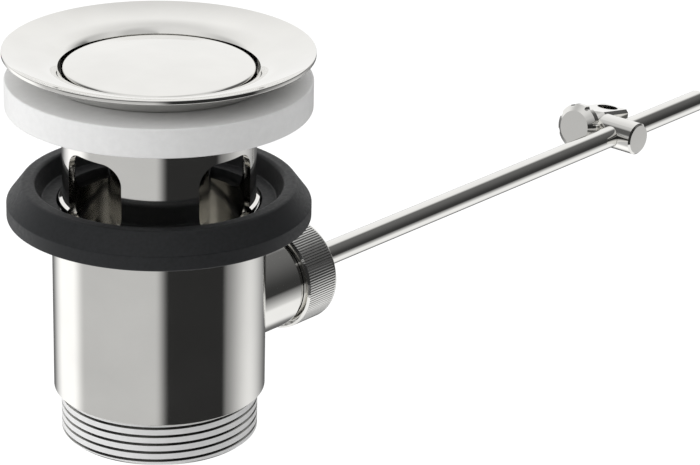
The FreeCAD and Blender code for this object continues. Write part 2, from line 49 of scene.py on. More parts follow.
# Steps of a full turn, of a corner's rounding and of a bowed outline
TURN_STEPS = 256
SMALL_TURN_STEPS = 128
NOTCH_STEPS = 32
ROUNDING_STEPS = 8
BOW_STEPS = 16
# Points that lie nearer to each other than this are merged, in millimetres
MERGE_DISTANCE = 1e-5
THREAD_MERGE_DISTANCE = 0.01
# A point this near to a radius or a height counts as lying on it, in millimetres
SURFACE_REACH = 0.001
# An edge runs along an axis if more than this share of its length does
ALONG_SHARE = 0.99
# Faces that meet at more than this keep a crisp edge
SHARP_ANGLE = math.radians(13)


def cad_low(node, way):
    """Lowest coordinate of a CAD piece, in millimetres."""
    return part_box(node)[0][way] / MM


def cad_high(node, way):
    """Highest coordinate of a CAD piece, in millimetres."""
    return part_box(node)[1][way] / MM


# Sizes that the scene takes from the CAD pieces
RIM_RADIUS = cad_high("valve_cup", X)
RIM_TOP = cad_high("valve_cup", Z)
TUBE_END = cad_low("valve_cup", Z)
SEAL_RADIUS = cad_high("flange_seal", X)
GASKET_RADIUS = cad_high("basin_gasket", X)
GASKET_TOP = cad_high("basin_gasket", Z)
GASKET_FOOT = cad_low("basin_gasket", Z)
BODY_RADIUS = cad_high("tail_body", Y)
BODY_TOP = cad_high("tail_body", Z)
TAIL_FOOT = cad_low("tail_body", Z)
SPIGOT_END = cad_high("tail_body", X)
CAP_RADIUS = cad_high("plug_cap", X)
CAP_FOOT = cad_low("plug_cap", Z)
CAP_CROWN = cad_high("plug_cap", Z)
PLUG_SEAL_FOOT = cad_low("plug_seal", Z)
STEM_FOOT = cad_low("plug_stem", Z)
ROD_RADIUS = cad_high("lever_rod", Y)
ROD_HEIGHT = cad_high("lever_rod", Z) - ROD_RADIUS
ROD_START = cad_low("lever_rod", X)
ROD_END = cad_high("lever_rod", X)
NUT_START = cad_low("boss_nut", X)
NUT_END = cad_high("boss_nut", X)
NUT_RADIUS = cad_high("boss_nut", Y)
BARREL_RADIUS = (cad_high("clamp_barrel", X) - cad_low("clamp_barrel", X)) / 2
BARREL_FRONT = cad_low("clamp_barrel", Y)
PIN_END = cad_high("clamp_barrel", Y)
CLAMP_CENTRE = cad_low("clamp_barrel", X) + BARREL_RADIUS
LUG_FRONT = cad_low("clamp_lug", Y)
LUG_BACK = cad_high("clamp_lug", Y)

# The pipe thread. The offset is how far below a wall's foot its spin starts, in turns, and the
# groove lies a third of a turn above that, which puts the grooves where the photo has them.
PIPE_CREST = 20.96
PIPE_ROOT = 20.1
THREAD_PITCH = 1.844
THREAD_OFFSET = 1.53
GROOVE_PLACE = 1 / 3
GROOVE_WIDTH = 0.62
SPARE_TURNS = 3
# The middles of a groove's faces lie between these radii
GROOVE_RADII = (PIPE_ROOT - 0.01, PIPE_CREST - 0.05)

# Sizes that the CAD pieces share but don't show in their boxes
TUBE_RADIUS = 20.25
TUBE_BORE = 18.85
THROAT_RADIUS = 20.85
SEAT_HEIGHT = 3.85
NECK_RADIUS = 22.2
NECK_FOOT = 2.25
CONE_FOOT = 5.97
LIP_HEIGHT = 0.8
BOSS_RADIUS = 10.66
BOSS_END = 33.5
SPIGOT_RADIUS = 10.0
BOSS_BORE = 7.8
CAVITY_BORE = 8.8
CAVITY_START = 26.6
PLUG_HUB = 17.5
CLAMP_TILT = 10.0

# Half the length of a bar that cuts right through a piece, and how far a shorter cutter reaches
# past what it cuts
THROUGH = 10.0
PAST = 1.0


def bow(start, finish, radius, side):
    """Points of the short arc between two outline points, with its centre to the left or
    right of the way from start to finish. The start is left out."""
    begin, end = Vector(start), Vector(finish)
    chord = end - begin
    leftwards = Vector((-chord.y, chord.x)).normalized()
    turn = 1 if side == "left" else -1
    reach = math.sqrt(radius ** 2 - chord.length ** 2 / 4)
    centre = (begin + end) / 2 + leftwards * reach * turn
    sweep = 2 * math.asin(chord.length / 2 / radius) * turn
    arm = begin - centre
    angles = [sweep * step / BOW_STEPS for step in range(1, BOW_STEPS + 1)]
    return [tuple(centre + Matrix.Rotation(angle, 2) @ arm) for angle in angles]


def rounded(outline, closed):
    """The outline's points, with an arc at each corner that has a rounding as third number."""
    points = []
    count = len(outline)
    for index, corner in enumerate(outline):
        here = Vector(corner[:2])
        ends_here = not closed and index in (0, count - 1)
        if len(corner) < 3 or ends_here:
            points.append(tuple(here))
            continue
        before = Vector(outline[index - 1][:2]) - here
        after = Vector(outline[(index + 1) % count][:2]) - here
        half = before.angle(after) / 2
        start = here + before.normalized() * corner[2] / math.tan(half)
        middle = (before.normalized() + after.normalized()).normalized()
        centre = here + middle * corner[2] / math.sin(half)
        sweep = (start - centre).angle_signed(here - centre) * -2
        for step in range(ROUNDING_STEPS + 1):
            turn = Matrix.Rotation(sweep * step / ROUNDING_STEPS, 2)
            points.append(tuple(centre + turn @ (start - centre)))
    return points


def clean(shape):
    """Merges doubles and turns the faces outwards."""
    bmesh.ops.remove_doubles(shape, verts=shape.verts[:], dist=MERGE_DISTANCE)
    bmesh.ops.recalc_face_normals(shape, faces=shape.faces[:])
    return shape


def drawn(points, closed):
    """A new shape that is only an outline of (radius, height) points, beside the Z axis."""
    shape = bmesh.new()
    verts = [shape.verts.new((radius, 0, height)) for radius, height in points]
    for start, finish in zip(verts, verts[1:]):
        shape.edges.new((start, finish))
    if closed:
        shape.edges.new((verts[-1], verts[0]))
    return shape


def turned(outline, steps=TURN_STEPS):
    """A solid turned about Z from (radius, height) points. One that reaches the axis is left
    open there, and any other outline is closed."""
    closed = outline[0][0] > 0
    shape = drawn(rounded(outline, closed), closed)
    bmesh.ops.spin(shape, geom=shape.verts[:] + shape.edges[:], cent=(0, 0, 0),
                   axis=(0, 0, 1), dvec=(0, 0, 0), angle=math.tau, steps=steps,
                   use_merge=True)
    return clean(shape)


def laid_along(shape, way):
    """Turns a shape that stands along Z to lie along X or Y."""
    angle, axis = (90, "Y") if way == X else (-90, "X")
    turn = Matrix.Rotation(math.radians(angle), 4, axis)
    bmesh.ops.transform(shape, matrix=turn, verts=shape.verts[:])
    return shape


def moved(shape, x=0.0, y=0.0, z=0.0):
    """Moves a whole shape."""
    bmesh.ops.translate(shape, vec=(x, y, z), verts=shape.verts[:])
    return shape


def along_rod(shape):
    """Lays a shape that was turned about Z along the lever rod, with its heights along X."""
    return moved(laid_along(shape, X), z=ROD_HEIGHT)


def round_bar(radius, start, finish, steps=SMALL_TURN_STEPS):
    """A plain cylinder between two heights, to cut with."""
    return turned([(0, start), (radius, start), (radius, finish), (0, finish)], steps)


def block(low, high):
    """A box between two corners."""
    shape = bmesh.new()
    bmesh.ops.create_cube(shape, size=1.0)
    size = Vector(high) - Vector(low)
    bmesh.ops.scale(shape, vec=size, verts=shape.verts[:])
    bmesh.ops.translate(shape, vec=(Vector(high) + Vector(low)) / 2, verts=shape.verts[:])
    return shape


def edges_along(shape, way):
    """The edges of a block that run along X, Y or Z."""
    chosen = []
    for edge in shape.edges:
        span = edge.verts[1].co - edge.verts[0].co
        if abs(span[way]) > span.length * ALONG_SHARE:
            chosen.append(edge)
    return chosen


def as_object(name, shape):
    """Puts a shape into a new object of the scene and frees the shape."""
    mesh = bpy.data.meshes.new(name)
    shape.to_mesh(mesh)
    shape.free()
    made = bpy.data.objects.new(name, mesh)
    bpy.context.scene.collection.objects.link(made)
    return made


def carved(shape, cutters, operation="DIFFERENCE"):
    """A shape after cutters are taken from it, or after only what they share is kept."""
    blank = as_object("blank", shape)
    tools = [as_object("cutter", cutter) for cutter in cutters]
    for tool in tools:
        cut = blank.modifiers.new("cut", "BOOLEAN")
        cut.object = tool
        cut.operation = operation
        cut.solver = "EXACT"
    graph = bpy.context.evaluated_depsgraph_get()
    result = bmesh.new()
    result.from_mesh(blank.evaluated_get(graph).data)
    for leftover in [blank] + tools:
        mesh = leftover.data
        bpy.data.objects.remove(leftover)
        bpy.data.meshes.remove(mesh)
    return clean(result)


def thread_wall(low, high):
    """The skin of the right-hand thread between two heights, with flat crests and narrow
    grooves, open at both ends. The whole outline is spun once round, one pitch up."""
    pitch = THREAD_PITCH
    turns = math.ceil((high - low) / pitch) + SPARE_TURNS
    start = low - THREAD_OFFSET * pitch
    outline = [(PIPE_CREST, start)]
    for turn in range(turns):
        groove = start + pitch * (turn + GROOVE_PLACE)
        outline.append((PIPE_CREST, groove - GROOVE_WIDTH / 2))
        outline.append((PIPE_ROOT, groove))
        outline.append((PIPE_CREST, groove + GROOVE_WIDTH / 2))
    outline.append((PIPE_CREST, start + pitch * turns))
    shape = drawn(outline, False)
    bmesh.ops.spin(shape, geom=shape.verts[:] + shape.edges[:], cent=(0, 0, 0),
                   axis=(0, 0, 1), dvec=(0, 0, pitch / TURN_STEPS), angle=math.tau,
                   steps=TURN_STEPS)
    bmesh.ops.remove_doubles(shape, verts=shape.verts[:], dist=THREAD_MERGE_DISTANCE)
    for height, upper in ((low, False), (high, True)):
        geometry = shape.verts[:] + shape.edges[:] + shape.faces[:]
        bmesh.ops.bisect_plane(shape, geom=geometry, dist=MERGE_DISTANCE,
                               plane_co=(0, 0, height), plane_no=(0, 0, 1),
                               clear_inner=not upper, clear_outer=upper)
    return shape


def ring_at(shape, height):
    """The open edges at a height."""
    return [edge for edge in shape.edges if edge.is_boundary
            and all(abs(vert.co.z - height) < SURFACE_REACH for vert in edge.verts)]


def carried_on(shape, ring, outline):
    """Extrudes a ring of edges through further outline points and gives the last ring."""
    for radius, height in rounded(outline, False):
        made = bmesh.ops.extrude_edge_only(shape, edges=ring)["geom"]
        verts = {item for item in made if isinstance(item, bmesh.types.BMVert)}
        ring = [item for item in made if isinstance(item, bmesh.types.BMEdge)
                and all(vert in verts for vert in item.verts)]
        for vert in verts:
            angle = math.atan2(vert.co.y, vert.co.x)
            vert.co = (radius * math.cos(angle), radius * math.sin(angle), height)
    return ring


def knurled(shape, radius, teeth, depth):
    """Sinks narrow grooves into the outermost surface of a shape that was turned about Z."""
    for vert in shape.verts:
        if math.hypot(vert.co.x, vert.co.y) < radius - SURFACE_REACH:
            continue
        turn = math.atan2(vert.co.y, vert.co.x) * teeth
        sink = depth / radius * max(0.0, math.cos(turn))
        vert.co.x *= 1 - sink
        vert.co.y *= 1 - sink


def marked(shape, index, radii, heights, centre=(0.0, 0.0)):
    """Gives the faces whose middles lie between two radii and two heights another of the
    piece's materials. The radii are measured from an upright axis through the centre."""
    inner, outer = radii
    low, high = heights
    for face in shape.faces:
        middle = face.calc_center_median()
        reach = math.hypot(middle.x - centre[0], middle.y - centre[1])
        if inner < reach < outer and low < middle.z < high:
            face.material_index = index


def bore_radii(narrowest, widest):
    """The radii between which the middles of a bore's faces lie, with those of its ledges."""
    room_inside, room_outside = 0.5, 0.01
    return narrowest - room_inside, widest + room_outside


def finished(name, shape, body, materials, nodes):
    """Makes a shape a piece of the object that rides on a body and stands for CAD nodes. Its
    faces have the first material, apart from those that were marked for another."""
    bmesh.ops.scale(shape, vec=(MM, MM, MM), verts=shape.verts[:])
    for face in shape.faces:
        face.smooth = True
    for edge in shape.edges:
        if len(edge.link_faces) == 2 and edge.calc_face_angle(0) > SHARP_ANGLE:
            edge.smooth = False
    piece = as_object(name, shape)
    for material in materials:
        piece.data.materials.append(material)
    weigh = piece.modifiers.new("even_normals", "WEIGHTED_NORMAL")
    weigh.keep_sharp = True
    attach(piece, body)
    if nodes:
        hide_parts(*nodes)


# Nearly all of a noise's values lie between these
NOISE_SPAN = (0.3, 0.7)


class Shader:
    """A new material with short ways to add and join its nodes."""

    def __init__(self, name):
        self.material = bpy.data.materials.new(name)
        self.material.use_nodes = True
        self.tree = self.material.node_tree
        self.surface = self.tree.nodes["Principled BSDF"]

    def add(self, kind):
        return self.tree.nodes.new(kind)

    def join(self, output, socket):
        self.tree.links.new(output, socket)

    def set(self, **sockets):
        for socket, value in sockets.items():
            self.surface.inputs[socket.replace("_", " ")].default_value = value

    def noise(self, scale, detail, stretch=(1, 1, 1)):
        """Noise over the piece, in waves per metre, and stretched along an axis by Mapping."""
        place = self.add("ShaderNodeTexCoord")
        mapping = self.add("ShaderNodeMapping")
        mapping.inputs["Scale"].default_value = stretch
        noise = self.add("ShaderNodeTexNoise")
        noise.inputs["Scale"].default_value = scale
        noise.inputs["Detail"].default_value = detail
        self.join(place.outputs["Object"], mapping.inputs["Vector"])
        self.join(mapping.outputs["Vector"], noise.inputs["Vector"])
        return noise.outputs["Fac"]

    def tints(self, noise, darker, paler):
        """Lets the colour run between two tints with a noise."""
        ramp = self.add("ShaderNodeValToRGB")
        for stop, place, tint in zip(ramp.color_ramp.elements, NOISE_SPAN, (darker, paler)):
            stop.position = place
            stop.color = tint + (1.0,)
        self.join(noise, ramp.inputs["Fac"])
        self.join(ramp.outputs["Color"], self.surface.inputs["Base Color"])

    def roughness(self, noise, low, high):
        """Lets the roughness run between two values with a noise."""
        spread = self.add("ShaderNodeMapRange")
        spread.inputs["From Min"].default_value = NOISE_SPAN[0]
        spread.inputs["From Max"].default_value = NOISE_SPAN[1]
        spread.inputs["To Min"].default_value = low
        spread.inputs["To Max"].default_value = high
        self.join(noise, spread.inputs["Value"])
        self.join(spread.outputs["Result"], self.surface.inputs["Roughness"])

    def bump(self, height, strength, distance):
        """A bump of the given depth in metres."""
        bump = self.add("ShaderNodeBump")
        bump.inputs["Strength"].default_value = strength
        bump.inputs["Distance"].default_value = distance
        self.join(height, bump.inputs["Height"])
        self.join(bump.outputs["Normal"], self.surface.inputs["Normal"])


def chrome_plate():
    """Bright chrome plate: a clear mirror with a faint haze that varies over the piece."""
    shader = Shader("chrome_plate")
    shader.set(Metallic=1.0)
    haze = shader.noise(scale=90.0, detail=3.0)
    shader.tints(haze, darker=(0.74, 0.732, 0.707), paler=(0.78, 0.772, 0.745))
    shader.roughness(haze, low=0.05, high=0.08)
    return shader.material


def thread_crest():
    """Matt pale finish on the crests of the tail's thread."""
    shader = Shader("thread_crest")
    grain = shader.noise(scale=600.0, detail=3.0)
    shader.tints(grain, darker=(0.78, 0.78, 0.78), paler=(0.82, 0.82, 0.82))
    shader.roughness(grain, low=0.45, high=0.55)
    return shader.material


def groove_painted_shade():
    """Chrome darkened as painted shade in the grooves of the threads and of the nut's knurl,
    where deep grooves fall dark."""
    shader = Shader("groove_painted_shade")
    shader.set(Metallic=1.0)
    haze = shader.noise(scale=260.0, detail=4.0)
    shader.tints(haze, darker=(0.40, 0.40, 0.39), paler=(0.46, 0.46, 0.45))
    shader.roughness(haze, low=0.12, high=0.20)
    return shader.material


def bore_painted_shade():
    """Duller chrome in bores and holes, darkened as painted shade of their dark insides."""
    shader = Shader("bore_painted_shade")
    shader.set(Metallic=1.0)
    haze = shader.noise(scale=120.0, detail=3.0)
    shader.tints(haze, darker=(0.60, 0.59, 0.565), paler=(0.66, 0.65, 0.62))
    shader.roughness(haze, low=0.09, high=0.14)
    return shader.material


def turned_steel():
    """Plain turned steel with fine tool marks."""
    shader = Shader("turned_steel")
    shader.set(Metallic=1.0)
    marks = shader.noise(scale=500.0, detail=2.0, stretch=(0.15, 0.15, 6.0))
    shader.tints(marks, darker=(0.54, 0.54, 0.53), paler=(0.64, 0.64, 0.63))
    shader.roughness(marks, low=0.26, high=0.38)
    shader.bump(marks, strength=0.2, distance=0.00002)
    return shader.material


def pale_plastic():
    """Smooth off-white plastic of the seal under the flange."""
    shader = Shader("pale_plastic")
    grain = shader.noise(scale=700.0, detail=3.0)
    shader.tints(grain, darker=(0.80, 0.80, 0.795), paler=(0.84, 0.84, 0.835))
    shader.roughness(grain, low=0.42, high=0.52)
    shader.bump(grain, strength=0.15, distance=0.00002)
    return shader.material


def seat_plastic():
    """Slippery white plastic of the ball seats."""
    shader = Shader("seat_plastic")
    grain = shader.noise(scale=900.0, detail=2.0)
    shader.tints(grain, darker=(0.82, 0.82, 0.79), paler=(0.86, 0.86, 0.84))
    shader.roughness(grain, low=0.30, high=0.40)
    return shader.material


def black_rubber():
    """Satin black rubber with a fine moulded grain."""
    shader = Shader("black_rubber")
    shader.set(Specular_IOR_Level=0.3)
    grain = shader.noise(scale=1400.0, detail=4.0)
    shader.tints(grain, darker=(0.013, 0.014, 0.015), paler=(0.020, 0.021, 0.023))
    shader.roughness(grain, low=0.42, high=0.58)
    shader.bump(grain, strength=0.25, distance=0.00003)
    return shader.material


CHROME = chrome_plate()
SHADED_GROOVE = groove_painted_shade()
SHADED_BORE = bore_painted_shade()
CREST = thread_crest()
STEEL = turned_steel()
PALE = pale_plastic()
SEAT = seat_plastic()
RUBBER = black_rubber()


def window_cutter(way):
    """A bar with rounded corners that cuts the two windows that face each other."""
    half, top, foot = 7.6, -6.88, -22.1
    corner, reach = 4.3, 30.0
    shape = block((-half, -half, foot), (half, half, top))
    stretch = [1.0, 1.0, 1.0]
    stretch[way] = reach / half
    bmesh.ops.scale(shape, vec=stretch, verts=shape.verts[:])
    bmesh.ops.bevel(shape, geom=edges_along(shape, way), offset=corner, offset_type="OFFSET",
                    affect="EDGES", segments=12, profile=0.5, material=-1)
    return clean(shape)


def make_valve_cup():
    """The dished flange with its throat and the slotted, threaded tube under it."""
    thread_top, runout = -19.9, 0.3
    lip_rounding, lip_foot_rounding = 0.18, 0.12
    brim, brim_bow = (25.5, 10.45), 25.0
    mouth, mouth_bow = (THROAT_RADIUS, 8.55), 10.0
    bore_shade_end, bore_top = SEAT_HEIGHT - 0.3, SEAT_HEIGHT - 1.0
    cup = thread_wall(TUBE_END, thread_top)
    upper = ring_at(cup, thread_top)
    lower = ring_at(cup, TUBE_END)
    rim_edge = (RIM_RADIUS - lip_rounding, RIM_TOP)
    outside = [
        (TUBE_RADIUS, thread_top + runout),
        (TUBE_RADIUS, NECK_FOOT),
        (NECK_RADIUS, NECK_FOOT),
        (NECK_RADIUS, CONE_FOOT),
        (RIM_RADIUS, RIM_TOP - LIP_HEIGHT, lip_foot_rounding),
        *bow((RIM_RADIUS, RIM_TOP - lip_rounding), rim_edge, lip_rounding, "left"),
        *bow(rim_edge, brim, brim_bow, "right"),
        *bow(brim, mouth, mouth_bow, "left"),
        (THROAT_RADIUS, SEAT_HEIGHT, 0.2),
        (TUBE_BORE, SEAT_HEIGHT, 0.15),
        (TUBE_BORE, bore_top),
    ]
    upper = carried_on(cup, upper, outside)
    lower = carried_on(cup, lower, [(TUBE_BORE, TUBE_END)])
    bmesh.ops.bridge_loops(cup, edges=upper + lower)
    cup = carved(clean(cup), [window_cutter(X), window_cutter(Y)])
    materials = [CHROME, SHADED_GROOVE, SHADED_BORE]
    # Faces in the thread's grooves get the darker chrome, as painted shade
    marked(cup, materials.index(SHADED_GROOVE), GROOVE_RADII, (TUBE_END, thread_top))
    # The bore's walls get the duller chrome, darkened as painted shade of the inside
    marked(cup, materials.index(SHADED_BORE), bore_radii(TUBE_BORE, TUBE_BORE), (TUBE_END, bore_shade_end))
    finished("flanged_cup", cup, "waste", materials, ["valve_cup"])


def make_flange_seal():
    """The thick pale ring between the flange and the basin."""
    height, crown, fit, gap_to_flange, inner_drop = 6.22, 24.0, 0.1, 0.02, 0.9
    slope = (RIM_TOP - LIP_HEIGHT - CONE_FOOT) / (RIM_RADIUS - NECK_RADIUS)
    crown_height = CONE_FOOT + (crown - NECK_RADIUS) * slope - gap_to_flange
    ring = turned([
        (TUBE_RADIUS + fit, 0),
        (SEAL_RADIUS, 0, 0.4),
        (SEAL_RADIUS, height, 0.4),
        (crown, crown_height, 0.3),
        (NECK_RADIUS + fit, crown_height - inner_drop),
        (NECK_RADIUS + fit, NECK_FOOT - fit),
        (TUBE_RADIUS + fit, NECK_FOOT - fit),
    ])
    finished("seal_ring", ring, "waste", [PALE], ["flange_seal"])


def make_basin_gasket():
    """The black rubber gasket: a soft lip round a recess."""
    rim_height, lip_outer, lip_inner = 3.2, 28.7, 26.1
    floor, floor_radius, bore = -20.53, 24.5, 21.4
    ring = turned([
        (bore, GASKET_FOOT),
        (GASKET_RADIUS, GASKET_FOOT, 0.35),
        (GASKET_RADIUS, GASKET_FOOT + rim_height, 0.5),
        (lip_outer, GASKET_TOP, 0.9),
        (lip_inner, GASKET_TOP, 1.0),
        (floor_radius, floor, 0.4),
        (bore, floor, 0.2),
    ])
    finished("rubber_gasket", ring, "waste", [RUBBER], ["basin_gasket"])


def make_tail_body():
    """The body with its socket above and its threaded tail below."""
    body_foot, edge = -62.85, 0.35
    socket, socket_floor = 21.06, -36.75
    body_bore, tail_bore = 19.0, 17.8
    bore_step, bore_step_rise = -60.3, 1.2
    bore_shade_end, bore_foot = TAIL_FOOT + 0.5, TAIL_FOOT + 1.0
    thread_foot, foot_chamfer = TAIL_FOOT + 0.6, 0.7
    body = thread_wall(thread_foot, body_foot)
    upper = ring_at(body, body_foot)
    lower = ring_at(body, thread_foot)
    upper = carried_on(body, upper, [
        (BODY_RADIUS - edge, body_foot),
        (BODY_RADIUS, body_foot + edge),
        (BODY_RADIUS, BODY_TOP, edge),
        (socket, BODY_TOP),
        (socket, socket_floor),
        (body_bore, socket_floor),
        (body_bore, bore_step + bore_step_rise),
        (tail_bore, bore_step),
    ])
    lower = carried_on(body, lower, [
        (PIPE_CREST - foot_chamfer, TAIL_FOOT),
        (tail_bore, TAIL_FOOT, 0.3),
        (tail_bore, bore_foot),
    ])
    bmesh.ops.bridge_loops(body, edges=upper + lower)
    hole_start, hole_end = 4.0, 32.0
    body = carved(clean(body), [along_rod(round_bar(BOSS_BORE, hole_start, hole_end))])
    materials = [CHROME, SHADED_GROOVE, SHADED_BORE, CREST]
    # Faces in the thread's grooves get the darker chrome, as painted shade
    marked(body, materials.index(SHADED_GROOVE), GROOVE_RADII, (thread_foot, body_foot))
    # The bores get the duller chrome, darkened as painted shade of the inside
    marked(body, materials.index(SHADED_BORE), bore_radii(tail_bore, body_bore),
           (bore_shade_end, socket_floor))
    marked(body, materials.index(CREST), (GROOVE_RADII[1], PIPE_CREST),
           (thread_foot, body_foot - SURFACE_REACH))
    finished("threaded_body", body, "waste", materials, ["tail_body"])


def make_lever_boss():
    """The boss on the body's side, with the spigot that the knurled nut screws onto."""
    root, edge = 19.3, 0.25
    boss = turned([
        (BOSS_BORE, root),
        (BOSS_RADIUS, root),
        (BOSS_RADIUS, BOSS_END, edge),
        (SPIGOT_RADIUS, BOSS_END),
        (SPIGOT_RADIUS, SPIGOT_END, 0.3),
        (CAVITY_BORE, SPIGOT_END),
        (CAVITY_BORE, CAVITY_START),
        (BOSS_BORE, CAVITY_START),
    ])
    finished("lever_boss", along_rod(boss), "waste", [CHROME], [])


def make_plug_button():
    """The chrome button that closes the drain, with its slightly domed top."""
    edge_top, rounding = 8.75, 0.8
    span, rise = CAP_RADIUS - rounding, CAP_CROWN - edge_top
    crown_curve = (span ** 2 + rise ** 2) / (2 * rise)
    cap = turned([
        (0, CAP_FOOT),
        (CAP_RADIUS, CAP_FOOT, rounding),
        (CAP_RADIUS, edge_top, rounding),
        *bow((span, edge_top), (0.0, CAP_CROWN), crown_curve, "left"),
    ])
    finished("plug_button", cap, "plug", [CHROME], ["plug_cap"])


def make_plug_washer():
    """The rubber ring under the button, which seals on the cup's seat."""
    radius = 20.2
    seal = turned([
        (PLUG_HUB, PLUG_SEAL_FOOT),
        (radius, PLUG_SEAL_FOOT, 0.5),
        (radius, CAP_FOOT, 0.5),
        (PLUG_HUB, CAP_FOOT),
    ])
    finished("plug_washer", seal, "plug", [RUBBER], ["plug_seal"])


def make_plug_guide():
    """The stem that keeps the washer on the button, with its round guide skirt."""
    keeper, keeper_foot, flare = 18.4, 3.3, 2.4
    bore, web_foot = 3.1, 1.45
    skirt, wall = 10.7, 1.3
    stem = turned([
        (bore, web_foot),
        (skirt - wall, web_foot, 0.8),
        (skirt - wall, STEM_FOOT),
        (skirt, STEM_FOOT, 0.4),
        (skirt, keeper_foot - flare, 1.0),
        (keeper, keeper_foot, 0.2),
        (keeper, PLUG_SEAL_FOOT),
        (PLUG_HUB, PLUG_SEAL_FOOT),
        (PLUG_HUB, CAP_FOOT),
        (bore, CAP_FOOT),
    ])
    finished("plug_guide", stem, "plug", [CHROME], ["plug_stem"])


def make_boss_nut():
    """The round nut with its fine straight knurl and the mouth that lets the rod tilt."""
    teeth, depth, rows = 120, 0.06, 6
    chamfer, crown, knurl_edge = 0.5, 1.05, 0.05
    bore, floor, mouth, mouth_outer = 10.15, 41.6, 4.8, 5.8
    knurl_start, knurl_end, bore_shade_end = NUT_START + chamfer, NUT_END - crown, NUT_END - 0.3
    nut = turned([
        (bore, NUT_START),
        (NUT_RADIUS - chamfer, NUT_START),
        (NUT_RADIUS - knurl_edge, knurl_start - knurl_edge),
        (NUT_RADIUS, knurl_start),
        (NUT_RADIUS, knurl_end),
        *bow((NUT_RADIUS, knurl_end), (NUT_RADIUS - crown, NUT_END), crown, "left"),
        (mouth_outer, NUT_END, 0.15),
        (mouth, floor),
        (bore, floor),
    ], teeth * rows)
    knurled(nut, NUT_RADIUS, teeth, depth)
    materials = [CHROME, SHADED_BORE, SHADED_GROOVE]
    # The nut's bore and mouth get the duller chrome, darkened as painted shade
    marked(nut, materials.index(SHADED_BORE), bore_radii(mouth, bore), (knurl_start, bore_shade_end))
    # The knurl's grooves get the darker chrome, as painted shade
    marked(nut, materials.index(SHADED_GROOVE), (NUT_RADIUS - depth, NUT_RADIUS - SURFACE_REACH),
           (knurl_start, knurl_end))
    finished("knurled_nut", along_rod(nut), "nut", materials, ["boss_nut"])


def make_lever_rod():
    """The plain round lever rod with chamfered ends."""
    chamfer = 0.5
    rod = turned([
        (0, ROD_START),
        (ROD_RADIUS - chamfer, ROD_START),
        (ROD_RADIUS, ROD_START + chamfer),
        (ROD_RADIUS, ROD_END - chamfer),
        (ROD_RADIUS - chamfer, ROD_END),
        (0, ROD_END),
    ], SMALL_TURN_STEPS)
    finished("rod", along_rod(rod), "lever", [CHROME], ["lever_rod"])


def at_clamp(shape):
    """Moves a shape from the crossing of rod and barrel to the clamp's place."""
    return moved(shape, x=CLAMP_CENTRE, z=ROD_HEIGHT)


def tilted(shape):
    """Tilts a shape about the barrel's axis, as the lug is set in the photo."""
    turn = Matrix.Rotation(math.radians(CLAMP_TILT), 4, "Y")
    bmesh.ops.transform(shape, matrix=turn, verts=shape.verts[:])
    return shape


def make_clamp_barrel():
    """The cross barrel with its chamfered face, rod hole and pin."""
    rear, chamfer, pin, rod_fit = 4.1, 0.45, 2.5, 0.05
    barrel = laid_along(turned([
        (0, BARREL_FRONT),
        (BARREL_RADIUS - chamfer, BARREL_FRONT),
        (BARREL_RADIUS, BARREL_FRONT + chamfer),
        (BARREL_RADIUS, rear),
        (pin, rear),
        (pin, PIN_END),
        (0, PIN_END),
    ], SMALL_TURN_STEPS), Y)
    hole = laid_along(round_bar(ROD_RADIUS + rod_fit, -THROUGH, THROUGH), X)
    barrel = carved(barrel, [hole])
    finished("cross_barrel", at_clamp(barrel), "clamp", [CHROME], ["clamp_barrel"])


def make_clamp_lug():
    """The square lug: chamfered edges, a turned neck, and the lift rod's hole."""
    left, right, half = -3.8, 10.7, 4.2
    chamfer, end_chamfer = 0.8, 1.0
    neck_end, neck_edge, cone, cone_reach = -2.2, 0.3, 60.0, 1.5
    middle = (LUG_FRONT + LUG_BACK) / 2
    lug = block((left, LUG_FRONT, -half), (right, LUG_BACK, half))
    bmesh.ops.bevel(lug, geom=edges_along(lug, X), offset=chamfer, offset_type="OFFSET",
                    affect="EDGES", segments=1, profile=0.5, material=-1)
    end_edges = [edge for edge in lug.edges
                 if all(abs(vert.co.x - right) < MERGE_DISTANCE for vert in edge.verts)]
    bmesh.ops.bevel(lug, geom=end_edges, offset=end_chamfer, offset_type="OFFSET",
                    affect="EDGES", segments=1, profile=0.5, material=-1)
    cone_run = half * (cone_reach - 1) / math.tan(math.radians(cone / 2))
    neck = moved(laid_along(turned([
        (0, left),
        (half - neck_edge, left),
        (half, left + neck_edge),
        (half, neck_end),
        (half * cone_reach, neck_end + cone_run),
        (half * cone_reach, right + PAST),
        (0, right + PAST),
    ]), X), y=middle)
    lug = carved(lug, [neck], "INTERSECT")
    hole_place, hole_radius = 6.2, 2.6
    pin_hole_radius, pin_hole_end, screw_hole_radius = 2.6, 6.4, 2.1
    hole_wall, bore_shade_end = (0.0, hole_radius + 0.02), half - 0.1
    lift_hole = moved(round_bar(hole_radius, -THROUGH, THROUGH), x=hole_place, y=middle)
    pin_hole = laid_along(round_bar(pin_hole_radius, 0.0, pin_hole_end), Y)
    screw_hole = laid_along(round_bar(screw_hole_radius, -THROUGH, hole_place), X)
    lug = carved(lug, [lift_hole, pin_hole, moved(screw_hole, y=middle)])
    materials = [CHROME, SHADED_BORE]
    # The lift rod's hole wall gets the duller chrome, darkened as painted shade
    marked(lug, materials.index(SHADED_BORE), hole_wall, (-bore_shade_end, bore_shade_end),
           (hole_place, middle))
    finished("square_lug", at_clamp(tilted(lug)), "lug", materials, ["clamp_lug"])


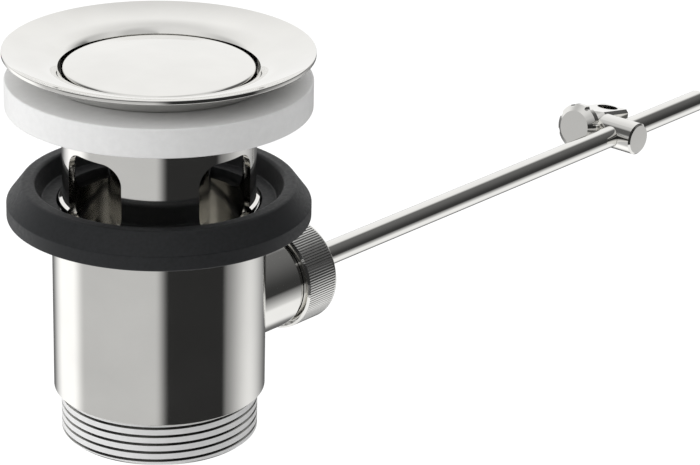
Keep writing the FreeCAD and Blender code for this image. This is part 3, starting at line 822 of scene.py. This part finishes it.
def make_thumb_screw():
    """The thumb screw with its wide chamfered head, notched round the rim."""
    middle = (LUG_FRONT + LUG_BACK) / 2
    face, head_front, rim_back, head_back, collar_end, tip = -7.3, -5.9, -4.3, -4.1, -3.9, 3.4
    face_rim, rim, back_rim, collar, shank = 4.2, 5.8, 5.5, 2.9, 2.0
    notches, notch_radius = 8, 0.65
    screw = turned([
        (0, face),
        (face_rim, face),
        (rim, head_front),
        (rim, rim_back),
        (back_rim, head_back),
        (collar, head_back),
        (collar, collar_end),
        (shank, collar_end),
        (shank, tip, 0.3),
        (0, tip),
    ], SMALL_TURN_STEPS)
    cutters = []
    for notch in range(notches):
        angle = math.tau * (notch + 0.5) / notches
        bar = round_bar(notch_radius, face - PAST, rim_back + PAST, NOTCH_STEPS)
        cutters.append(moved(bar, x=rim * math.cos(angle), y=rim * math.sin(angle)))
    screw = tilted(moved(laid_along(carved(screw, cutters), X), y=middle))
    finished("notched_thumb_screw", at_clamp(screw), "thumb_screw", [CHROME],
             ["lift_rod_screw"])


def finish_carried_nodes():
    """Gives the CAD pieces that stay in view, deep inside, their materials."""
    looks = {
        "tube_end_seal": RUBBER, "seat_washer": RUBBER, "plug_spindle": STEEL,
        "spindle_nut": STEEL, "pin_ring": STEEL, "lever_ball": CHROME,
        "ball_seat_inner": SEAT, "ball_seat_outer": SEAT,
    }
    for name, material in looks.items():
        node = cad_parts[name]
        node.data.materials.clear()
        node.data.materials.append(material)
        node.data.shade_smooth()
        weld = node.modifiers.new("weld", "WELD")
        weld.merge_threshold = MERGE_DISTANCE * MM


# Soft-edged cards on the studio tent, by direction from the object in degrees. Azimuth turns
# from +X towards +Y and elevation is up from level. Each edge has the angle where it lies and
# the width over which it fades. A later card lies over an earlier one.
TENT_RADIUS = 6.0
TENT_LEVEL = 0.65
TENT_CARDS = [
    # name, azimuth from, fade, to, fade, elevation from, fade, to, fade, strength
    ("pale_ground", -180, 1, 180, 1, -95, 1, -50, 20, 1.0),
    ("dim_flag_behind", -66, 16, 90, 4, -52, 12, -8, 8, 0.15),
    ("bright_side_screen", 79, 40, 127, 20, -75, 10, -2, 16, 1.32),
    ("bright_floor_card", -200, 10, 2, 24, -75, 20, -31, 6, 1.10),
    ("bright_lever_card", -45, 50, 3, 50, -60, 14, -18, 26, 1.08),
    ("dark_flag_by_the_lever", -133, 16, -61, 8, -32, 6, 48, 6, 0.030),
    ("dark_flag_by_the_camera", -210, 12, -120, 12, -13, 6, 26, 10, 0.030),
    ("dark_panel_over_the_lever", -66, 16, -3, 20, -10.5, 5, 48, 6, 0.045),
    ("dim_panel_over_the_lever", -60, 30, -3, 20, 24, 50, 48, 6, 0.17),
    ("dim_side_panel", 104, 14, 166, 14, 18, 14, 49, 8, 0.13),
    ("bright_back_screen", 8, 14, 88, 16, -6, 10, 60, 60, 1.08),
    ("bright_ceiling", -180, 1, 180, 1, 62, 24, 95, 1, 0.92),
    ("dim_ceiling_by_the_lever", -150, 60, 30, 60, 68, 10, 95, 1, 0.64),
]


WHITE = (1, 1, 1, 1)


def bare_material(name):
    """A new material without nodes, and its node tree."""
    material = bpy.data.materials.new(name)
    material.use_nodes = True
    material.node_tree.nodes.clear()
    return material, material.node_tree


class TentPaint:
    """The nodes that paint the cards on the tent."""

    def __init__(self, tree):
        self.tree = tree

    def math(self, operation, *values):
        node = self.tree.nodes.new("ShaderNodeMath")
        node.operation = operation
        for socket, value in zip(node.inputs, values):
            if isinstance(value, (int, float)):
                socket.default_value = value
            else:
                self.tree.links.new(value, socket)
        return node.outputs[0]

    def soft_edge(self, angle, edge, fade, rising):
        """A step at an edge that fades over a width, both in degrees."""
        node = self.tree.nodes.new("ShaderNodeMapRange")
        node.interpolation_type = "SMOOTHSTEP"
        node.inputs["From Min"].default_value = math.radians(edge - fade / 2)
        node.inputs["From Max"].default_value = math.radians(edge + fade / 2)
        node.inputs["To Min"].default_value = 0.0 if rising else 1.0
        node.inputs["To Max"].default_value = 1.0 if rising else 0.0
        self.tree.links.new(angle, node.inputs["Value"])
        return node.outputs["Result"]

    def directions(self):
        """Azimuth and elevation of a place on the tent, seen from its middle."""
        place = self.tree.nodes.new("ShaderNodeTexCoord").outputs["Object"]
        unit = self.tree.nodes.new("ShaderNodeVectorMath")
        unit.operation = "NORMALIZE"
        split = self.tree.nodes.new("ShaderNodeSeparateXYZ")
        self.tree.links.new(place, unit.inputs[0])
        self.tree.links.new(unit.outputs[0], split.inputs[0])
        azimuth = self.math("ARCTAN2", split.outputs["Y"], split.outputs["X"])
        return azimuth, self.math("ARCSINE", split.outputs["Z"])

    def card(self, azimuth, elevation, sides):
        """How much of a card lies at each place."""
        left, left_fade, right, right_fade, low, low_fade, high, high_fade = sides
        amount = self.math("MULTIPLY", self.soft_edge(elevation, low, low_fade, rising=True),
                           self.soft_edge(elevation, high, high_fade, rising=False))
        half = (right - left) / 2
        all_round = half >= 180
        if all_round:
            return amount
        offset = self.math("SUBTRACT", azimuth, math.radians((left + right) / 2))
        around = self.math("WRAP", offset, math.pi, -math.pi)
        left_edge = self.soft_edge(around, -half, left_fade, rising=True)
        right_edge = self.soft_edge(around, half, right_fade, rising=False)
        return self.math("MULTIPLY", self.math("MULTIPLY", amount, left_edge), right_edge)


def hang_tent():
    """A round tent with soft screens and dark flags. Only the chrome shows it."""
    shape = bmesh.new()
    bmesh.ops.create_icosphere(shape, subdivisions=4, radius=TENT_RADIUS)
    tent = as_object("studio_tent", shape)
    material, tree = bare_material("tent_cloth")
    material.cycles.emission_sampling = "NONE"
    paint = TentPaint(tree)
    azimuth, elevation = paint.directions()
    level = TENT_LEVEL
    for name, *sides, strength in TENT_CARDS:
        blend = tree.nodes.new("ShaderNodeMix")
        blend.label = name
        tree.links.new(paint.card(azimuth, elevation, sides), blend.inputs["Factor"])
        if isinstance(level, float):
            blend.inputs["A"].default_value = level
        else:
            tree.links.new(level, blend.inputs["A"])
        blend.inputs["B"].default_value = strength
        level = blend.outputs["Result"]
    cloth = tree.nodes.new("ShaderNodeEmission")
    tree.links.new(level, cloth.inputs["Strength"])
    output = tree.nodes.new("ShaderNodeOutputMaterial")
    tree.links.new(cloth.outputs[0], output.inputs["Surface"])
    tent.data.materials.append(material)
    tent.visible_camera = False
    tent.visible_diffuse = False
    tent.visible_transmission = False
    tent.visible_shadow = False


def seen_directly(tree):
    """One for rays that show the background: from the camera, a mirror or glass."""
    rays = tree.nodes.new("ShaderNodeLightPath")
    kinds = ("Is Camera Ray", "Is Glossy Ray", "Is Transmission Ray")
    seen = rays.outputs[kinds[0]]
    for kind in kinds[1:]:
        most = tree.nodes.new("ShaderNodeMath")
        most.operation = "MAXIMUM"
        tree.links.new(seen, most.inputs[0])
        tree.links.new(rays.outputs[kind], most.inputs[1])
        seen = most.outputs[0]
    return seen


def lit_and_seen(tree, lights, seen, output_kind):
    """Lights the pieces with one shader and shows another one as the background."""
    mix = tree.nodes.new("ShaderNodeMixShader")
    tree.links.new(seen_directly(tree), mix.inputs["Fac"])
    tree.links.new(lights.outputs[0], mix.inputs[1])
    tree.links.new(seen.outputs[0], mix.inputs[2])
    output = tree.nodes.new(output_kind)
    tree.links.new(mix.outputs[0], output.inputs["Surface"])


def light_studio():
    """Soft light, stronger from above, and a white background."""
    strength_level, strength_overhead = 0.33, 0.95
    world = bpy.data.worlds.new("studio")
    world.use_nodes = True
    bpy.context.scene.world = world
    tree = world.node_tree
    tree.nodes.clear()
    air = tree.nodes.new("ShaderNodeBackground")
    air.inputs["Color"].default_value = WHITE
    way = tree.nodes.new("ShaderNodeTexCoord")
    split = tree.nodes.new("ShaderNodeSeparateXYZ")
    climb = tree.nodes.new("ShaderNodeMapRange")
    climb.inputs["To Min"].default_value = strength_level
    climb.inputs["To Max"].default_value = strength_overhead
    tree.links.new(way.outputs["Generated"], split.inputs[0])
    tree.links.new(split.outputs["Z"], climb.inputs["Value"])
    tree.links.new(climb.outputs["Result"], air.inputs["Strength"])
    plain = tree.nodes.new("ShaderNodeBackground")
    plain.inputs["Color"].default_value = WHITE
    lit_and_seen(tree, air, plain, "ShaderNodeOutputWorld")


def hang_side_lamp():
    """One soft square lamp from the left, which the chrome doesn't show."""
    azimuth, elevation, reach = math.radians(152), math.radians(14), 1.5
    data = bpy.data.lights.new("side_lamp", "AREA")
    data.size = 1.0
    data.energy = 11.5
    lamp = bpy.data.objects.new("side_lamp", data)
    place = Vector((math.cos(azimuth), math.sin(azimuth), math.tan(elevation))) * reach
    turn = place.to_track_quat("Z", "Y").to_matrix().to_4x4()
    lamp.matrix_world = Matrix.Translation(place) @ turn
    lamp.visible_glossy = False
    bpy.context.scene.collection.objects.link(lamp)


def lay_floor():
    """A plain pale floor, just under the lowest place that the lever reaches. Seen directly it
    is white and shows the object's shadow softly."""
    height, reach = -0.105, 3.0
    paint_shade, seen_shade, seen_glow = 0.80, 0.30, 0.83
    shape = bmesh.new()
    bmesh.ops.create_circle(shape, cap_ends=True, radius=reach, segments=64)
    bmesh.ops.translate(shape, vec=(0, 0, height), verts=shape.verts[:])
    floor = as_object("floor", shape)
    material, tree = bare_material("pale_floor")
    paint = tree.nodes.new("ShaderNodeBsdfDiffuse")
    paint.inputs["Color"].default_value = (paint_shade,) * 3 + (1,)
    shaded = tree.nodes.new("ShaderNodeBsdfDiffuse")
    shaded.inputs["Color"].default_value = (seen_shade,) * 3 + (1,)
    glow = tree.nodes.new("ShaderNodeEmission")
    glow.inputs["Color"].default_value = WHITE
    glow.inputs["Strength"].default_value = seen_glow
    white = tree.nodes.new("ShaderNodeAddShader")
    tree.links.new(shaded.outputs[0], white.inputs[0])
    tree.links.new(glow.outputs[0], white.inputs[1])
    lit_and_seen(tree, paint, white, "ShaderNodeOutputMaterial")
    floor.data.materials.append(material)
    floor.visible_glossy = False


def set_camera():
    """The camera where the photo was taken from, worked out from the photo's ellipses."""
    place = Vector((-0.41677, -0.40842, 0.20848))
    forward = Vector((0.7049, 0.6018, -0.3756)).normalized()
    upward = Vector((0.2698, 0.2623, 0.9265))
    right = forward.cross(upward).normalized()
    upward = right.cross(forward)
    data = bpy.data.cameras.new("camera")
    data.lens = 153.9
    data.sensor_width = 36.0
    camera = bpy.data.objects.new("camera", data)
    bpy.context.scene.collection.objects.link(camera)
    turn = Matrix((right, upward, -forward)).transposed()
    camera.matrix_world = Matrix.Translation(place) @ turn.to_4x4()
    bpy.context.scene.camera = camera


make_valve_cup()
make_flange_seal()
make_basin_gasket()
make_tail_body()
make_lever_boss()
make_plug_button()
make_plug_washer()
make_plug_guide()
make_boss_nut()
make_lever_rod()
make_clamp_barrel()
make_clamp_lug()
make_thumb_screw()
finish_carried_nodes()
hang_tent()
light_studio()
hang_side_lamp()
lay_floor()
set_camera()
bpy.context.scene.view_settings.view_transform = "Standard"
